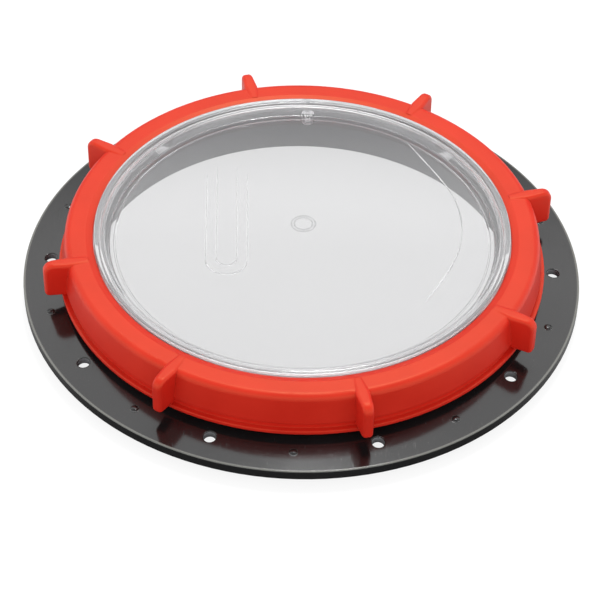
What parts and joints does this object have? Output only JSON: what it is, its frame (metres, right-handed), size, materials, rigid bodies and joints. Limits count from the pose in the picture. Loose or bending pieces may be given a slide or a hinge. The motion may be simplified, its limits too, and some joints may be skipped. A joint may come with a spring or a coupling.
{
  "type": "inspection hatch",
  "caption": "Round screw-down inspection hatch: flanged frame, clear lid on a seal and a lugged clamp ring that turns on a coarse multi-start thread.",
  "frame": {"origin": "on the hatch axis, in the plane of the deck face that the flange rests on", "axes": "+Z along the hatch axis, out of the deck towards the lid; +X through a screw hole; +Y through the lid's boss"},
  "size_m": [0.32, 0.32, 0.0435],
  "materials": {
    "frame_plastic": "glossy dark grey moulding",
    "clear_plastic": "clear polished moulding",
    "seal_rubber": "matte",
    "ring_plastic": "glossy red moulding"
  },
  "bodies": {
    "frame": {"mounting_frame": "frame_plastic"},
    "cover": {"lid": "clear_plastic", "lid_seal": "seal_rubber"},
    "ring": {"clamp_ring": "ring_plastic"}
  },
  "joints": [
    {"name": "cover_rise", "type": "slide", "parent": "frame", "child": "cover", "axis": [0, 0, 1], "range_m": [0, 0.0241]},
    {"name": "ring_turn", "type": "hinge", "parent": "cover", "child": "ring", "pos_m": [0, 0, 0], "axis": [0, 0, 1], "range_deg": [0, 360]}
  ],
  "couplings": [
    {"joint": "cover_rise", "follows": "ring_turn", "m_per_rad": 0.0038197}
  ]
}
